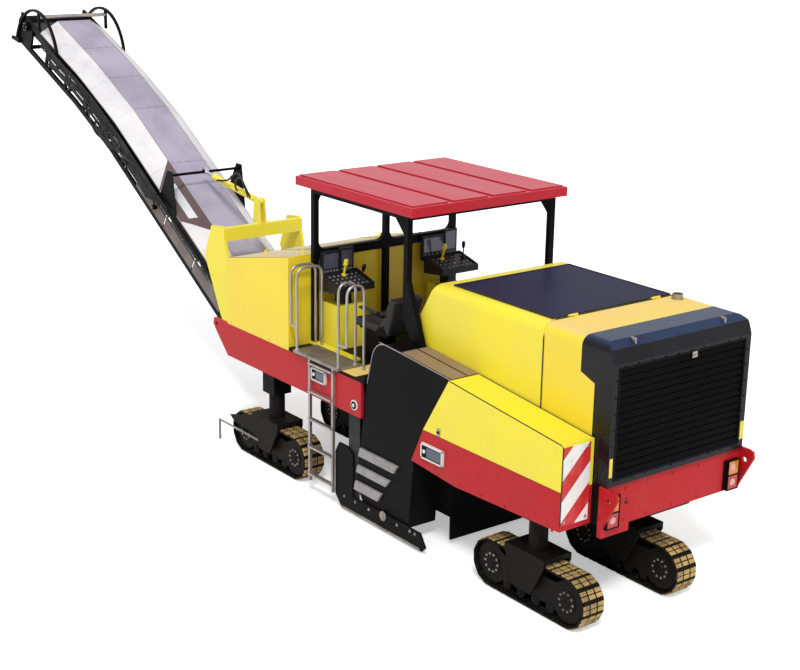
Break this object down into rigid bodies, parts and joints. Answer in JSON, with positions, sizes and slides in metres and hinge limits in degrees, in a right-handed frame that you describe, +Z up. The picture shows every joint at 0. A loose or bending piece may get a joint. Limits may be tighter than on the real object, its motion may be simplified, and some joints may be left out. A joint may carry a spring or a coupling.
{
  "type": "cold planer milling machine",
  "caption": "Four-track cold planer: milling drum under the frame, canopy over the operator's platform, and a long covered discharge conveyor in front.",
  "frame": {"origin": "on the ground under the middle of the machine's box", "axes": "+X towards the discharge conveyor's tip, +Y to the operator's left, +Z up"},
  "size_m": [14.829, 2.6243, 5.0652],
  "materials": {
    "yellow_paint": "gloss yellow paint",
    "red_paint": "gloss red paint",
    "black_paint": "satin black paint",
    "roof_red": "weathered red paint",
    "navy_panel": "dark navy panel",
    "grille_black": "matt black slats",
    "silver_metal": "galvanised steel",
    "cover_grey": "plain aluminium sheet",
    "belt_rubber": "conveyor belt rubber",
    "track_shoe": "worn tan shoes",
    "track_steel": "black cast track frame",
    "drum_steel": "worn drum steel",
    "seat_cover": "black seat cover",
    "console_black": "black console",
    "tread_grey": "checkered step tread",
    "engine_grey": "engine block",
    "rod_chrome": "piston rod",
    "lamp_red": "red lamp lens",
    "lamp_amber": "amber lamp lens",
    "plate_white": "white painted plate",
    "skirt_grey": "grey rubber skirt"
  },
  "bodies": {
    "chassis": {"frame_rails": "black_paint", "cross_members": "black_paint", "frame_nose": "black_paint", "leg_housings": "black_paint", "drive_cover": "black_paint", "canopy_frame": "black_paint", "drum_housing": "black_paint", "gathering_conveyor": "black_paint", "platform": "black_paint", "seat_pedestals": "black_paint", "wing_top": "yellow_paint", "front_body": "yellow_paint", "hood_front": "yellow_paint", "rear_bumper": "red_paint", "wing_base": "red_paint", "side_beams": "red_paint", "canopy_roof": "roof_red", "top_panel": "navy_panel", "ladder": "silver_metal", "landing": "silver_metal", "hand_rails": "silver_metal", "step_treads": "tread_grey", "engine_block": "engine_grey", "consoles": "console_black", "seats": "seat_cover", "lamps_red": "lamp_red", "lamps_amber": "lamp_amber", "hazard_plate": "plate_white", "console_cabinets": "yellow_paint", "console_screens": "console_black"},
    "lid": {"hood_rear": "yellow_paint", "hood_cap": "black_paint", "rear_grille": "grille_black", "exhaust": "silver_metal"},
    "drum": {"milling_drum": "drum_steel"},
    "scraper": {"scraper": "black_paint"},
    "side_plate_left": {"side_plate_left": "black_paint"},
    "side_plate_right": {"side_plate_right": "black_paint"},
    "leg_left_rear": {"column_left_rear": "track_steel"},
    "track_left_rear": {"track_frame_left_rear": "track_steel", "track_loop_left_rear": "track_shoe"},
    "leg_right_rear": {"column_right_rear": "track_steel"},
    "track_right_rear": {"track_frame_right_rear": "track_steel", "track_loop_right_rear": "track_shoe"},
    "leg_left_front": {"column_left_front": "track_steel"},
    "track_left_front": {"track_frame_left_front": "track_steel", "track_loop_left_front": "track_shoe"},
    "leg_right_front": {"column_right_front": "track_steel"},
    "track_right_front": {"track_frame_right_front": "track_steel", "track_loop_right_front": "track_shoe"},
    "yoke": {"conveyor_yoke": "yellow_paint"},
    "boom": {"conveyor_sides": "black_paint", "conveyor_cross": "black_paint", "conveyor_cover": "cover_grey", "conveyor_belt": "belt_rubber", "conveyor_skirts": "skirt_grey", "conveyor_boards": "black_paint", "tip_hoops": "silver_metal"},
    "barrel": {"lift_barrel": "yellow_paint"},
    "rod": {"lift_rod": "rod_chrome"}
  },
  "joints": [
    {"name": "left_rear_leg", "type": "slide", "parent": "chassis", "child": "leg_left_rear", "axis": [0, 0, 1], "range_m": [-0.1, 0.12]},
    {"name": "left_rear_steering", "type": "hinge", "parent": "leg_left_rear", "child": "track_left_rear", "pos_m": [-6.526, 1.02, 0.64], "axis": [0, 0, 1], "range_deg": [-20, 20]},
    {"name": "right_rear_leg", "type": "slide", "parent": "chassis", "child": "leg_right_rear", "axis": [0, 0, 1], "range_m": [-0.1, 0.12]},
    {"name": "right_rear_steering", "type": "hinge", "parent": "leg_right_rear", "child": "track_right_rear", "pos_m": [-6.526, -0.32, 0.64], "axis": [0, 0, 1], "range_deg": [-20, 20]},
    {"name": "left_front_leg", "type": "slide", "parent": "chassis", "child": "leg_left_front", "axis": [0, 0, 1], "range_m": [-0.1, 0.12]},
    {"name": "left_front_steering", "type": "hinge", "parent": "leg_left_front", "child": "track_left_front", "pos_m": [-1.67, 1.06, 0.64], "axis": [0, 0, 1], "range_deg": [-20, 20]},
    {"name": "right_front_leg", "type": "slide", "parent": "chassis", "child": "leg_right_front", "axis": [0, 0, 1], "range_m": [-0.1, 0.12]},
    {"name": "right_front_steering", "type": "hinge", "parent": "leg_right_front", "child": "track_right_front", "pos_m": [-1.67, -0.32, 0.64], "axis": [0, 0, 1], "range_deg": [-20, 20]},
    {"name": "drum_spin", "type": "hinge", "parent": "chassis", "child": "drum", "pos_m": [-4.16, -0.19, 0.57], "axis": [0, 1, 0], "continuous": true},
    {"name": "scraper_lift", "type": "slide", "parent": "chassis", "child": "scraper", "axis": [0, 0, 1], "range_m": [0, 0.12]},
    {"name": "side_plate_left_lift", "type": "slide", "parent": "chassis", "child": "side_plate_left", "axis": [0, 0, 1], "range_m": [0, 0.1]},
    {"name": "side_plate_right_lift", "type": "slide", "parent": "chassis", "child": "side_plate_right", "axis": [0, 0, 1], "range_m": [0, 0.1]},
    {"name": "hood_lid", "type": "hinge", "parent": "chassis", "child": "lid", "pos_m": [-6.263, -0.17, 2.955], "axis": [0, 1, 0], "range_deg": [0, 45]},
    {"name": "conveyor_slew", "type": "hinge", "parent": "chassis", "child": "yoke", "pos_m": [-0.11, -0.17, 0.95], "axis": [0, 0, 1], "range_deg": [-30, 30]},
    {"name": "conveyor_lift", "type": "hinge", "parent": "yoke", "child": "boom", "pos_m": [0.127, -0.17, 1.042], "axis": [0, -1, 0], "range_deg": [-8, 5]},
    {"name": "lift_barrel_swing", "type": "hinge", "parent": "yoke", "child": "barrel", "pos_m": [0.66, -0.17, 2.85], "axis": [0, -1, 0], "range_deg": [-11.7, 7.35]},
    {"name": "lift_rod_slide", "type": "slide", "parent": "barrel", "child": "rod", "axis": [0.9919, 0, 0.1273], "range_m": [-0.157, 0.25]}
  ],
  "couplings": [
    {"joint": "lift_barrel_swing", "follows": "conveyor_lift", "ratio": 1.45},
    {"joint": "lift_rod_slide", "follows": "conveyor_lift", "m_per_rad": -1.77}
  ]
}
